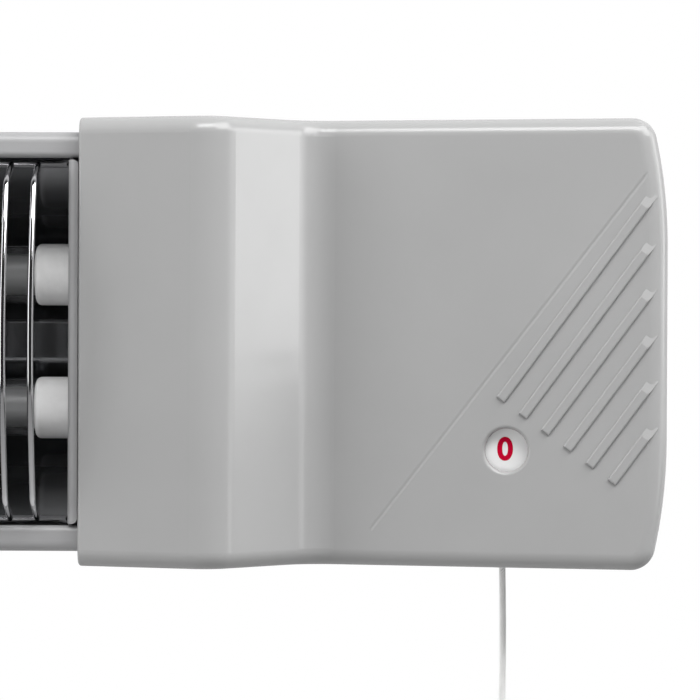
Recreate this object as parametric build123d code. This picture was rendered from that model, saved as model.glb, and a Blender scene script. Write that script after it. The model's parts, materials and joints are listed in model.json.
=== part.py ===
from build123d import *
import math
import os

# Wall-mounted quartz heater. Millimetres, X along the heater, Z up, the room in front at -Y.
# The origin is the centre of the two wall screws, on the wall. "Depth" is the distance from the wall.

# Overall sizes
overall_length = 575.7
housing_length = 165.3
left_cap_length = 50.4
casing_back_depth = 26.0
casing_wall = 2.2
casing_draft = 0.6
fit_gap = 0.25

# Plan line of the control housing, from the grille outwards
joint_depth = 86.5
crest_depth = 98.5
crest_distance = 38.9
crest_radius = 12.0
valley_depth = 68.5
valley_distance = 65.3
valley_radius = 11.0
housing_end_depth = 86.2
left_crest_distance = 31.0
left_crest_radius = 12.0
left_end_depth = 84.0

# Elevation of both end mouldings
inner_half_height = 63.3
outer_half_height = 64.0
end_straight = 54.0
end_bow_radius = 150.0
outer_corner_radius = 7.5
front_round = 4.8
joint_edge_round = 1.0
joint_allowance = 5.0

# Steel body trough
trough_height = 117.7
trough_sheet = 1.0
trough_back_depth = 30.0
lip_depth = 81.0
lip_height = 7.2
lip_return = 3.5
lip_round = 3.0
trough_back_round = 6.0
trough_lap = 14.0

# End plates of the trough
plate_sheet = 1.0
plate_gap = 0.3
plate_roll = 2.8
plate_front_depth = 82.2

# Reflector
reflector_sheet = 0.6
reflector_edge_depth = 72.3
reflector_flat_depth = 36.0
reflector_bend = 1.5

# Quartz tubes, coils and ceramic caps
tube_spacing = 38.5
tube_depth = 50.0
tube_radius = 6.0
tube_bore_radius = 5.0
coil_radius = 4.2
coil_wall = 0.6
cap_wall = 2.7
cap_face_inset = 15.0
cap_neck_radius = 6.5
cap_bore_depth = 9.0
cap_tube_gap = 0.2
stud_radius = 2.0
nut_flats = 7.0
nut_height = 3.2

# Wire guard
guard_wires = 45
guard_wire_radius = 0.9
guard_rail_radius = 1.1
guard_rail_half_height = 50.0
guard_rail_depth = 76.0
guard_bend_half_height = 44.3
guard_bend_depth = 90.5
guard_bow = 9.5
guard_bend_radius = 5.0
guard_first_wire = 12.2

# Switch window, dial and its shaft
window_distance = 119.7
window_height = -30.0
window_radius = 6.1
window_round = 1.1
dial_digit_radius = 11.65
dial_radius = 18.6
dial_setback = 4.0288
dial_thickness = 1.5
dial_hub = 2.2
shaft_radius = 2.5
running_gap = 0.05

# Pull-cord switch
switch_width = 44.0
switch_height = 40.0
switch_back_setback = 36.1
switch_front_setback = 6.1
switch_wall = 2.0
switch_cover_sheet = 2.0
lever_radius = 12.0
lever_half_swing = 30.0
lever_setback = 27.7
lever_sheet = 2.6
lever_pin_radius = 1.2
eye_sheet = 2.2
ratchet_teeth = 6
ratchet_radius = 12.0
ratchet_root_radius = 9.0
ratchet_setback = 20.1
ratchet_width = 4.0
cam_radius = 9.0
cam_setback = 15.1
cam_width = 6.0
spring_wire = 0.8
spring_turns = 4
spring_mean_radius = 5.4

# Pull cord
cord_radius = 1.0
cord_hinge_height = -62.65
cord_hinge_gap = 0.45
eyelet_bore_radius = 1.3
eyelet_mouth_radius = 3.6
eyelet_flange = 1.0
eyelet_barrel_radius = 4.0
pendant_length = 26.0
pendant_top_radius = 3.0
pendant_radius = 6.0
cord_sway = [(0, 0), (0.5, -25), (-0.2, -55), (-0.6, -85), (-0.3, -111.5)]

# Ribs and crease on the control housing
rib_count = 6
rib_angle = 53.5
rib_pitch = 7.7
rib_width = 2.7
rib_height = 0.8
rib_root = 0.6
rib_round = 0.45
rib_ramp = 4.5
rib_start_distance = 118.2
rib_start_height = -15.7
rib_end_distance = 161.0
crease_width = 1.3
crease_depth = 0.18
crease_start = (81.7, -53.0)
crease_end = (159.5, 48.9)

# Back covers, posts and screws
cover_sheet = 2.5
post_radius = 3.6
pilot_radius = 1.3
pilot_depth = 12.0
switch_pilot_depth = 8.2
screw_head_radius = 2.9
screw_shank_radius = 1.25

# Lead bush and terminal block
lead_radius = 3.6
bush_distance = 143.0
bush_height = 34.0
block_poles = 3
block_pitch = 11.0

# Wall bracket and pivots
bracket_sheet = 1.5
bracket_inset = 10.0
bracket_half_height = 15.0
bracket_flange = 7.5
wall_screw_spacing = 240.0
wall_hole_radius = 2.75
pivot_depth = 17.0
pivot_height = -40.0
pivot_bolt_radius = 2.5
ear_radius = 10.0
lug_sheet = 1.8
lug_radius = 9.0
lug_base = 18.0
washer_sheet = 0.5
knob_radius = 8.0
knob_length = 7.5

# Places worked out from the sizes above
grille_half = (overall_length - housing_length - left_cap_length) / 2
crest_line_depth = crest_depth + 5
slope_turn = math.atan2(housing_end_depth - valley_depth, housing_length - valley_distance)
trough_half = trough_height / 2
lip_edge = trough_half - lip_height
trough_inner_half = trough_half - trough_sheet
plate_x = grille_half - plate_roll - 0.5
cap_radius = tube_radius + cap_tube_gap + cap_wall
tube_heights = (tube_spacing / 2, -tube_spacing / 2)
cap_inner_x = grille_half - cap_face_inset
cap_outer_x = plate_x + 11.0
stud_end_x = cap_outer_x + 10.0
shaft_x = grille_half + window_distance + dial_digit_radius
shaft_height = window_height
window_x = grille_half + window_distance
face_rise = (housing_end_depth - valley_depth) / (housing_length - valley_distance)
dial_front_depth = valley_depth + (window_distance - valley_distance) * face_rise - dial_setback
switch_back_depth = dial_front_depth - switch_back_setback
switch_front_depth = dial_front_depth - switch_front_setback
lever_back_depth = dial_front_depth - lever_setback
ratchet_depth = dial_front_depth - ratchet_setback
cam_depth = dial_front_depth - cam_setback
lever_rise = lever_radius * math.sin(math.radians(lever_half_swing))
lever_reach = lever_radius * math.cos(math.radians(lever_half_swing))
cord_x = shaft_x - (lever_radius + lever_reach) / 2
lever_front_depth = lever_back_depth + lever_sheet
cord_depth = lever_front_depth + 0.3 + eye_sheet / 2
pull_travel = 2 * lever_rise
bracket_length = 2 * (grille_half - bracket_inset)
ear_x = bracket_length / 2 - bracket_sheet
lug_x = ear_x - washer_sheet


def spot(x, depth, z):
    """A place given by its distance from the wall."""
    return Pos(x, -depth, z)


def block(x0, x1, depth0, depth1, z0, z1):
    """A box between two corners."""
    centre = spot((x0 + x1) / 2, (depth0 + depth1) / 2, (z0 + z1) / 2)
    return centre * Box(abs(x1 - x0), abs(depth1 - depth0), abs(z1 - z0))


def rod_x(x0, x1, depth, z, radius):
    """A round bar along the heater."""
    return spot((x0 + x1) / 2, depth, z) * Rot(0, 90, 0) * Cylinder(radius, abs(x1 - x0))


def rod_y(x, depth0, depth1, z, radius):
    """A round bar square to the wall, with its seam turned away from the walls beside it."""
    bar = Rot(90, 0, 0) * Rot(0, 0, 135) * Cylinder(radius, abs(depth1 - depth0))
    return spot(x, (depth0 + depth1) / 2, z) * bar


def rod_z(x, depth, z0, z1, radius):
    """An upright round bar."""
    return spot(x, depth, (z0 + z1) / 2) * Cylinder(radius, abs(z1 - z0))


def hex_x(x0, x1, depth, z, flats):
    """A hexagonal nut or head along the heater."""
    plane = Plane(origin=(min(x0, x1), -depth, z), x_dir=(0, 1, 0), z_dir=(1, 0, 0))
    return extrude(plane * RegularPolygon(flats / 2, 6, major_radius=False), abs(x1 - x0))


def side_section(points, radii, sheet, side=Side.RIGHT):
    """Folded sheet seen from the end: depth and height points, thickened to one side of the line."""
    line = FilletPolyline(*[(-depth, z) for depth, z in points], radius=radii)
    return make_face(offset(line, sheet, side=side))


def along_x(section, x0, x1):
    """Extrude an end-view section from x0 to x1."""
    return extrude(Plane.YZ.offset(min(x0, x1)) * section, abs(x1 - x0))


def elevation(section, depth0, depth1):
    """Extrude a front-view section between two depths."""
    return extrude(Plane.XZ.offset(min(depth0, depth1)) * section, abs(depth1 - depth0))


def end_outline(side, length, allowance=0.0):
    """Front view of an end moulding: straight long edges, a gently bowed end, rounded corners."""
    joint = side * (grille_half - allowance)
    tip = side * (grille_half + length)
    straight = end_straight / 2
    drop = end_bow_radius - math.sqrt(end_bow_radius**2 - (outer_half_height - straight) ** 2)
    corner = tip - side * drop
    lines = [
        Polyline(
            (corner, -outer_half_height),
            (joint, -inner_half_height),
            (joint, inner_half_height),
            (corner, outer_half_height),
        ),
        TangentArc((tip, straight), (corner, outer_half_height), tangent=(0, 1)),
        Line((tip, -straight), (tip, straight)),
        TangentArc((tip, -straight), (corner, -outer_half_height), tangent=(0, -1)),
    ]
    outline = make_face(lines)
    outer = outline.vertices().filter_by(lambda v: abs(v.Y) > outer_half_height - 0.1)
    return fillet(outer, outer_corner_radius)


def end_form(side, length, plan_points, plan_radii, inset=0.0):
    """Solid form of an end moulding, or of its hollow: a plan line cut through a drafted front view."""
    outline = end_outline(side, length, joint_allowance)
    corners = [(side * (grille_half + distance), -depth) for distance, depth in plan_points]
    plan = make_face(FilletPolyline(*corners, radius=plan_radii, close=True))
    back = casing_back_depth
    if inset:
        back -= 1.0
        outline = offset(outline, -inset, kind=Kind.INTERSECTION)
        behind = Pos(0, inset + 1.0) * plan
        plan = offset(plan + behind, -inset, kind=Kind.INTERSECTION)
    drafted = extrude(Plane.XZ.offset(back) * outline, crest_line_depth - back, taper=casing_draft)
    form = drafted & extrude(plan, 2 * outer_half_height, both=True)
    front = form.edges().filter_by(
        lambda e: -e.center().Y > valley_depth - 8
        and (abs(e.center().Z) > 50 or abs(e.center().X) > grille_half + length - 8)
    )
    return fillet(front, front_round - inset)


def hollow(side, form, inner):
    """Shell of an end moulding, open at the back and where the trough enters it."""
    shell = form - inner
    joint = side * grille_half
    edge = shell.edges().filter_by(
        lambda e: abs(e.center().X - joint) < 1 and abs(e.center().Z) < 1 and -e.center().Y > joint_depth - 1
    )
    shell = fillet(edge, joint_edge_round)
    reach = trough_half + fit_gap
    return shell - block(
        joint - side, joint + side * (casing_wall + 0.5),
        casing_back_depth - 1, lip_depth + fit_gap, -reach, reach
    )


def posts(core, places, depth):
    """Screw posts from the given depth forward into the middle of the front wall."""
    return [rod_y(x, depth, crest_line_depth, z, post_radius) & core for x, z in places]


def pilots(places, depth, reach):
    """Pilot holes of those posts."""
    return [rod_y(x, depth - 1, depth + reach, z, pilot_radius) for x, z in places]


def housing_face():
    """Working plane on the sloping right-hand face of the housing, at the foot of the valley."""
    direction = (math.cos(slope_turn), -math.sin(slope_turn), 0)
    normal = (-math.sin(slope_turn), -math.cos(slope_turn), 0)
    origin = (grille_half + valley_distance, -valley_depth, 0)
    return Plane(origin=origin, x_dir=direction, z_dir=normal)


def on_face(distance, z):
    """Place on that plane of a point given by its distance from the grille and its height."""
    return ((distance - valley_distance) / math.cos(slope_turn), z)


def cover_posts():
    """Screw posts of the control housing."""
    near = grille_half + 31.0
    far = grille_half + housing_length - 11.6
    return [(near, 51.0), (near, -51.0), (far, 54.0), (far, -54.0)]


def left_posts():
    """Screw posts of the left end cap."""
    x = -(grille_half + 31.0)
    return [(x, 51.0), (x, -51.0)]


def switch_posts():
    """Posts that carry the switch, above and below it."""
    reach = switch_height / 2 + 5.2
    return [(shaft_x, shaft_height + reach), (shaft_x, shaft_height - reach)]


def housing_plan():
    """Plan line of the control housing."""
    points = [
        (0, casing_back_depth),
        (0, joint_depth),
        (crest_distance, crest_depth),
        (valley_distance, valley_depth),
        (housing_length, housing_end_depth),
        (housing_length, casing_back_depth),
    ]
    return points, [0, 0, crest_radius, valley_radius, 0, 0]


def left_plan():
    """Plan line of the left end cap."""
    points = [
        (0, casing_back_depth),
        (0, joint_depth),
        (left_crest_distance, crest_depth),
        (left_cap_length, left_end_depth),
        (left_cap_length, casing_back_depth),
    ]
    return points, [0, 0, left_crest_radius, 0, 0]


def window_cutter():
    """Round window with a rounded rim, standing on the face it is cut from."""
    rim = window_radius + window_round
    half = window_round * math.sqrt(0.5)
    outline = [
        Polyline((rim, 0), (rim, 2), (0, 2), (0, -casing_wall - 1), (window_radius, -casing_wall - 1),
                 (window_radius, -window_round)),
        ThreePointArc((window_radius, -window_round), (rim - half, -window_round + half), (rim, 0)),
    ]
    return revolve(Plane.XZ * make_face(outline), Axis.Z)


def rib(length):
    """Rib along X from its square lower end to the end that ramps down into the face."""
    line = Polyline(
        (0, -rib_root), (0, rib_height), (length - rib_ramp, rib_height), (length, -rib_root), close=True
    )
    bar = extrude(Plane.XZ * make_face(line), rib_width / 2, both=True)
    flat_end = length - rib_ramp - 0.1
    crown = bar.edges().filter_by(lambda e: e.center().Z > rib_height - 0.1 and e.center().X < flat_end)
    return fillet(crown, rib_round)


def face_ribs(face):
    """Raised ribs on the housing face, each shorter than the last, all ending at the right-hand edge."""
    turn = math.radians(rib_angle)
    ribs = []
    for index in range(rib_count):
        start = rib_start_distance + index * rib_pitch * math.sin(turn)
        height = rib_start_height - index * rib_pitch * math.cos(turn)
        length = (rib_end_distance - start) / math.cos(turn)
        ribs.append(face * Pos(*on_face(start, height)) * Rot(0, 0, rib_angle) * rib(length))
    return ribs


def crease(face):
    """Shallow groove that runs beside the ribs, as a cutter."""
    low = on_face(*crease_start)
    high = on_face(*crease_end)
    lean = math.degrees(math.atan2(high[1] - low[1], high[0] - low[0]))
    corners = [(0, -crease_depth), (crease_width, crease_depth), (-crease_width, crease_depth)]
    section = Polyline(*corners, close=True)
    bar = extrude(Plane.YZ * make_face(section), math.dist(low, high) / 2, both=True)
    return face * Pos((low[0] + high[0]) / 2, (low[1] + high[1]) / 2, 0) * Rot(0, 0, lean) * bar


def control_housing():
    """Moulded housing with its wave, ribs, crease, switch window and cord hole."""
    form = end_form(1, housing_length, *housing_plan())
    core = end_form(1, housing_length, *housing_plan(), casing_wall / 2)
    inner = end_form(1, housing_length, *housing_plan(), casing_wall)
    face = housing_face()
    cover_seat = casing_back_depth + cover_sheet
    switch_seat = switch_front_depth + switch_cover_sheet
    shell = hollow(1, form, inner).fuse(
        *posts(core, cover_posts(), cover_seat), *posts(core, switch_posts(), switch_seat), *face_ribs(face)
    )
    hole = eyelet_barrel_radius + 0.1
    low = -outer_half_height
    return shell.cut(
        *pilots(cover_posts(), cover_seat, pilot_depth),
        *pilots(switch_posts(), switch_seat, switch_pilot_depth),
        crease(face),
        face * Pos(*on_face(window_distance, window_height)) * window_cutter(),
        rod_z(cord_x, cord_depth, low - 5, low + 6, hole),
    )


def left_end_cap():
    """Moulded cap that closes the left end of the trough."""
    form = end_form(-1, left_cap_length, *left_plan())
    core = end_form(-1, left_cap_length, *left_plan(), casing_wall / 2)
    inner = end_form(-1, left_cap_length, *left_plan(), casing_wall)
    seat = casing_back_depth + cover_sheet
    shell = hollow(-1, form, inner).fuse(*posts(core, left_posts(), seat))
    return shell.cut(*pilots(left_posts(), seat, pilot_depth))


def back_cover(side, length, places):
    """Flat cover that drops into the back of an end moulding, with countersunk screw holes."""
    outline = offset(end_outline(side, length), -(casing_wall + fit_gap), kind=Kind.INTERSECTION)
    cover = elevation(outline, casing_back_depth, casing_back_depth + cover_sheet)
    for x, z in places:
        hole_end = casing_back_depth + cover_sheet + 1
        cover -= rod_y(x, casing_back_depth - 1, hole_end, z, screw_shank_radius + 0.2)
        cover -= rod_y(x, casing_back_depth - 1, casing_back_depth + 1.2, z, screw_head_radius + 0.2)
    return cover


def cover_screws(places):
    """Pan-head screws that hold a back cover to its posts."""
    head_top = casing_back_depth + 0.1
    seat = casing_back_depth + 1.2
    screws = []
    for x, z in places:
        head = rod_y(x, head_top, seat, z, screw_head_radius)
        shank = rod_y(x, seat, seat + 9.5, z, screw_shank_radius)
        screws.append(head + shank)
    return screws


def control_back_cover():
    """Back cover of the control housing, with the round hole for the lead bush."""
    cover = back_cover(1, housing_length, cover_posts())
    x = grille_half + bush_distance
    return cover - rod_y(x, casing_back_depth - 1, casing_back_depth + cover_sheet + 1, bush_height, 6.3)


def body_shell():
    """Steel trough with rolled lips that carries everything between the two mouldings."""
    points = [
        (lip_depth - lip_return, lip_edge),
        (lip_depth, lip_edge),
        (lip_depth, trough_half),
        (trough_back_depth, trough_half),
        (trough_back_depth, -trough_half),
        (lip_depth, -trough_half),
        (lip_depth, -lip_edge),
        (lip_depth - lip_return, -lip_edge),
    ]
    radii = [1.6, lip_round, trough_back_round, trough_back_round, lip_round, 1.6]
    section = side_section(points, radii, trough_sheet)
    half = grille_half + trough_lap
    shell = along_x(section, -half, half)
    for x, z in rivet_places():
        shell -= rod_y(x, trough_back_depth - 1, trough_back_depth + trough_sheet + 1, z, 2.1)
    return shell


def reflector():
    """Polished double reflector, one bay behind each tube and a ridge between them."""
    upper = [
        (reflector_edge_depth, trough_inner_half - 0.3),
        (reflector_edge_depth, 51.0),
        (47.0, 37.0),
        (reflector_flat_depth, 28.0),
        (reflector_flat_depth, 10.5),
        (47.0, 5.5),
    ]
    points = upper + [(depth, -z) for depth, z in reversed(upper)]
    radii = [reflector_bend] * (len(points) - 2)
    section = side_section(points, radii, reflector_sheet)
    half = plate_x - plate_gap
    return along_x(section, -half, half)


def end_plate(side):
    """Painted end plate of the trough with a rolled front edge and holes for the tube caps."""
    reach = trough_inner_half - plate_gap
    inside = (trough_back_depth + trough_sheet + plate_gap, lip_depth - lip_return - plate_gap)
    rear = RectangleRounded(inside[1] - inside[0], 2 * reach, 4.5)
    nose_half = lip_edge - 0.7
    x0 = side * plate_x
    x1 = side * (plate_x + plate_sheet)
    middle = -(inside[0] + inside[1]) / 2
    plate = along_x(Pos(middle, 0) * rear, x0, x1)
    roll_outer = side * (plate_x + plate_roll)
    line = FilletPolyline(
        (x0, -(inside[1] - 6)), (x0, -plate_front_depth), (roll_outer, -plate_front_depth), radius=2.2
    )
    turned = Side.LEFT if side > 0 else Side.RIGHT
    nose = make_face(offset(line, plate_sheet, side=turned))
    nose = extrude(Plane.XY.offset(-nose_half) * nose, 2 * nose_half)
    tips = nose.edges().filter_by(
        lambda e: abs(abs(e.center().Z) - nose_half) < 0.1 and abs(e.center().X - roll_outer) < 0.1
    )
    plate += fillet(tips, plate_roll / 2)
    for z in tube_heights:
        plate -= rod_x(x0 - side, x1 + side, tube_depth, z, cap_neck_radius + 0.2)
    for z in (guard_rail_half_height, -guard_rail_half_height):
        plate -= rod_x(x0 - side, x1 + side, guard_rail_depth, z, guard_rail_radius + 0.15)
    return plate


def quartz_tube(z):
    """Milky quartz tube, open at both ends."""
    half = cap_inner_x + cap_bore_depth - 1
    bore = rod_x(-half - 1, half + 1, tube_depth, z, tube_bore_radius)
    return rod_x(-half, half, tube_depth, z, tube_radius) - bore


def heating_coil(z):
    """Coiled resistance wire as one sleeve of the coil's own diameter."""
    half = cap_inner_x + cap_bore_depth - 1.5
    return rod_x(-half, half, tube_depth, z, coil_radius) - rod_x(
        -half - 1, half + 1, tube_depth, z, coil_radius - coil_wall
    )


def ceramic_cap(side, z):
    """Ceramic cap that holds a tube end and passes through the end plate."""
    shoulder = plate_x - 0.2
    profile = [
        (cap_inner_x, tube_radius + cap_tube_gap),
        (cap_inner_x, cap_radius),
        (shoulder, cap_radius),
        (shoulder, cap_neck_radius),
        (cap_outer_x, cap_neck_radius),
        (cap_outer_x, stud_radius + 0.1),
        (cap_inner_x + cap_bore_depth, stud_radius + 0.1),
        (cap_inner_x + cap_bore_depth, tube_radius + cap_tube_gap),
    ]
    line = FilletPolyline(*profile, radius=[0.5, 1.8, 0.8, 0, 0.8, 0, 0, 0], close=True)
    cap = revolve(make_face(line), Axis.X)
    if side < 0:
        cap = mirror(cap, Plane.YZ)
    return spot(0, tube_depth, z) * cap


def terminal_studs():
    """Threaded studs that carry the current through the caps."""
    inner = cap_inner_x + cap_bore_depth - 1.2
    return [
        rod_x(side * inner, side * stud_end_x, tube_depth, z, stud_radius)
        for side in (1, -1)
        for z in tube_heights
    ]


def terminal_nuts():
    """Nuts on the studs, two on each."""
    nuts = []
    for side in (1, -1):
        for z in tube_heights:
            for start in (cap_outer_x + 0.1, cap_outer_x + nut_height + 0.9):
                nut = hex_x(side * start, side * (start + nut_height), tube_depth, z, nut_flats)
                end = start + nut_height + 1
                nuts.append(nut - rod_x(side * (start - 1), side * end, tube_depth, z, stud_radius))
    return nuts


def guard_wire():
    """One bowed wire of the guard, from rail to rail."""
    end = (-guard_rail_depth, guard_rail_half_height)
    bend = (-guard_bend_depth, guard_bend_half_height)
    middle = (-(guard_bend_depth + guard_bow), 0)
    bow = ThreePointArc(bend, middle, (bend[0], -bend[1]))
    legs = Line(end, bend), Line((bend[0], -bend[1]), (end[0], -end[1]))
    line = Wire([legs[0].edge(), bow.edge(), legs[1].edge()])
    line = line.fillet_2d(guard_bend_radius, line.vertices().filter_by(lambda v: v.X < end[0] - 0.1))
    path = Plane.YZ * line
    start = Plane(origin=path @ 0, z_dir=path % 0, x_dir=(1, 0, 0))
    return sweep(start * RegularPolygon(guard_wire_radius, 8), path=path)


def wire_guard():
    """Chrome guard: bowed upright wires on two long rails."""
    half = plate_x + plate_sheet + 0.6
    rails = [
        rod_x(-half, half, guard_rail_depth, z, guard_rail_radius)
        for z in (guard_rail_half_height, -guard_rail_half_height)
    ]
    wire = guard_wire()
    first = -(grille_half - guard_first_wire)
    pitch = -2 * first / (guard_wires - 1)
    wires = [Pos(first + index * pitch, 0, 0) * wire for index in range(guard_wires)]
    return rails[0].fuse(rails[1], *wires)


def indicator_dial():
    """White disc behind the window, pressed on the front of the switch shaft."""
    rear = dial_front_depth - dial_thickness
    dial = rod_y(shaft_x, rear, dial_front_depth, shaft_height, dial_radius)
    dial += rod_y(shaft_x, rear - dial_hub, rear, shaft_height, 5.0)
    return dial - rod_y(shaft_x, rear - dial_hub - 1, dial_front_depth - 0.6, shaft_height, shaft_radius)


def ratchet_cam():
    """Switch shaft with its six-tooth ratchet and three-lobed cam."""
    shaft = rod_y(shaft_x, switch_back_depth + 0.4, dial_front_depth - 0.6, shaft_height, shaft_radius)
    teeth = []
    for index in range(ratchet_teeth):
        angle = 2 * math.pi * index / ratchet_teeth
        teeth.append((ratchet_radius * math.cos(angle), ratchet_radius * math.sin(angle)))
        teeth.append((ratchet_root_radius * math.cos(angle), ratchet_root_radius * math.sin(angle)))
    wheel = make_face(Polyline(*teeth, close=True))
    shaft += elevation(Pos(shaft_x, shaft_height) * wheel, ratchet_depth, ratchet_depth + ratchet_width)
    lobes = RegularPolygon(cam_radius, 3)
    lobes = fillet(lobes.vertices(), 2.0)
    place = Pos(shaft_x, shaft_height)
    shaft += elevation(place * lobes, ratchet_depth + ratchet_width, cam_depth + cam_width)
    return shaft


def pull_lever():
    """Lever that the cord pulls down, with the finger that drives the ratchet."""
    turn = math.radians(180 - lever_half_swing)
    tip = (shaft_x + lever_radius * math.cos(turn), shaft_height + lever_radius * math.sin(turn))
    finger_turn = math.radians(60)
    finger_reach = ratchet_radius + 2.0
    finger_x = shaft_x + finger_reach * math.cos(finger_turn)
    finger_z = shaft_height + finger_reach * math.sin(finger_turn)
    hub = Pos(shaft_x, shaft_height) * Circle(6.0)
    arm = make_hull([*hub.edges(), *(Pos(*tip) * Circle(2.8)).edges()])
    root = (Pos(shaft_x, shaft_height) * Circle(4.5)).edges()
    horn = make_hull([*root, *(Pos(finger_x, finger_z) * Circle(1.9)).edges()])
    lever = elevation(arm + horn, lever_back_depth, lever_front_depth)
    lever += rod_y(tip[0], lever_front_depth, lever_front_depth + eye_sheet + 0.8, tip[1], lever_pin_radius)
    lever += rod_y(finger_x, lever_front_depth, ratchet_depth + ratchet_width - 0.5, finger_z, 1.4)
    bore = shaft_radius + running_gap
    return lever - rod_y(shaft_x, lever_back_depth - 1, lever_front_depth + 1, shaft_height, bore)


def cord_eye():
    """Moulded eye on the lever's pin, with the stem that grips the cord."""
    depth = lever_front_depth + 0.3
    half_slot = (lever_radius - lever_reach) / 2 + lever_pin_radius + 0.3
    height = shaft_height + lever_rise
    outer = Pos(cord_x, height) * SlotOverall(2 * half_slot + 3.2, 2 * lever_pin_radius + 3.6)
    inner = Pos(cord_x, height) * SlotOverall(2 * half_slot, 2 * lever_pin_radius + 0.5)
    eye = elevation(outer - inner, depth, depth + eye_sheet)
    low = height - lever_pin_radius - 1.5
    stem = rod_z(cord_x, cord_depth, low, low - 5.0, eye_sheet / 2 + 0.2)
    return eye + stem


def switch_base():
    """Open-fronted switch body with the shaft bearing and the slot for the cord."""
    half_w = switch_width / 2
    half_h = switch_height / 2
    base = block(
        shaft_x - half_w, shaft_x + half_w, switch_back_depth, switch_front_depth,
        shaft_height - half_h, shaft_height + half_h,
    )
    base = fillet(base.edges().filter_by(Axis.Y), 2.0)
    base -= block(
        shaft_x - half_w + switch_wall, shaft_x + half_w - switch_wall,
        switch_back_depth + switch_wall, switch_front_depth + 1,
        shaft_height - half_h + switch_wall, shaft_height + half_h - switch_wall,
    )
    base += rod_y(shaft_x, switch_back_depth + switch_wall, lever_back_depth - 0.4, shaft_height, 4.2)
    base -= rod_y(shaft_x, switch_back_depth - 1, lever_back_depth, shaft_height, shaft_radius + running_gap)
    low = shaft_height - half_h
    slot = (cord_x - 2.2, cord_x + 2.2, cord_depth - 2.2, cord_depth + 2.2)
    return base - block(*slot, low - 1, low + switch_wall + 1)


def switch_cover():
    """Front plate of the switch with its shaft bearing and two fixing ears."""
    back = switch_front_depth
    front = back + switch_cover_sheet
    plate = Pos(shaft_x, shaft_height) * RectangleRounded(switch_width, switch_height, 2.0)
    for x, z in switch_posts():
        plate += Pos(x, z) * Circle(4.2)
        plate += Pos(x, (z + shaft_height) / 2) * Rectangle(8.4, abs(z - shaft_height))
    cover = elevation(plate, back, front)
    cover -= rod_y(shaft_x, back - 1, front + 1, shaft_height, shaft_radius + running_gap)
    for x, z in switch_posts():
        cover -= rod_y(x, back - 1, front + 1, z, screw_shank_radius + 0.2)
    return cover


def switch_screws():
    """Screws that hold the switch to its posts."""
    back = switch_front_depth
    return [
        rod_y(x, back - 1.8, back, z, screw_head_radius) + rod_y(x, back, back + 9, z, screw_shank_radius)
        for x, z in switch_posts()
    ]


def return_spring():
    """Torsion spring round the bearing boss that brings the lever back."""
    pitch = spring_wire + 0.05
    start = switch_back_depth + switch_wall + 0.3 + spring_wire / 2
    path = Helix(pitch, pitch * spring_turns, spring_mean_radius)
    section = Plane(origin=path @ 0, z_dir=path % 0) * Circle(spring_wire / 2)
    coil = sweep(section, path=path, is_frenet=True)
    return spot(shaft_x, start, shaft_height) * Rot(90, 0, 0) * coil


def contact_blades():
    """Two bronze blades that the cam works, held in the top of the switch body."""
    top = shaft_height + switch_height / 2 - switch_wall - 0.2
    reach = cam_radius + 0.6
    blades = []
    for side in (1, -1):
        x = shaft_x + side * reach
        blade = block(x, x + side * 0.5, cam_depth, cam_depth + 5, shaft_height - 8, top)
        foot = block(x, x + side * 5, cam_depth, cam_depth + 5, top - 0.5, top)
        blades.append(blade + foot)
    return blades


def switch_tabs():
    """Three push-on terminals on top of the switch body."""
    top = shaft_height + switch_height / 2
    return [block(shaft_x + x - 0.4, shaft_x + x + 0.4, 50, 56.3, top, top + 8) for x in (-12, 0, 12)]


def cord_eyelet():
    """Moulded eyelet in the underside with a flared mouth, so that the cord can swing."""
    wall_outer = -bottom_height(cord_x, cord_depth) - 0.1
    top = wall_outer + casing_wall + 1.6
    low = wall_outer - eyelet_flange
    profile = [
        (eyelet_bore_radius, top),
        (eyelet_barrel_radius, top),
        (eyelet_barrel_radius, wall_outer),
        (eyelet_barrel_radius + 1.6, wall_outer),
        (eyelet_barrel_radius + 1.6, low),
        (eyelet_mouth_radius, low),
        (eyelet_bore_radius, low + eyelet_mouth_radius - eyelet_bore_radius),
    ]
    line = FilletPolyline(*profile, radius=[0, 0, 0, 0.4, 0.4, 0, 0], close=True)
    return spot(cord_x, cord_depth, 0) * revolve(Plane.XZ * make_face(line), Axis.Z)


def bottom_height(x, depth):
    """Half height of the control housing at a place, with its flare and draft."""
    share = (x - grille_half) / housing_length
    flare = inner_half_height + (outer_half_height - inner_half_height) * share
    return flare - (depth - casing_back_depth) * math.tan(math.radians(casing_draft))


def cord_inner():
    """Straight stretch of the cord between the eye and the eyelet."""
    top = shaft_height + lever_rise - lever_pin_radius - 1.5 - 5.0
    return rod_z(cord_x, cord_depth, top, cord_hinge_height + cord_hinge_gap, cord_radius)


def cord_points():
    """Route of the hanging cord."""
    top = cord_hinge_height - cord_hinge_gap
    return [(cord_x + x, -cord_depth, top + z) for x, z in cord_sway]


def corner_radii(points):
    """Largest arcs that the runs allow, one for each corner of the route."""
    radii = []
    for before, here, after in zip(points, points[1:], points[2:]):
        first = Vector(*here) - Vector(*before)
        second = Vector(*after) - Vector(*here)
        half_turn = math.radians(first.get_angle(second)) / 2
        radii.append(0.45 * min(first.length, second.length) / math.tan(half_turn))
    return radii


def pull_cord():
    """Hanging pull cord with the slight waves that it has in use."""
    points = cord_points()
    radii = corner_radii(points)
    print("pull cord radii", [round(r) for r in radii])
    path = FilletPolyline(*points, radius=radii)
    cord = sweep(Plane(origin=path @ 0, z_dir=path % 0) * Circle(cord_radius), path=path)
    print("pull cord volume", round(cord.volume, 1), "section times length",
          round(math.pi * cord_radius**2 * path.length, 1))
    return cord


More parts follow.
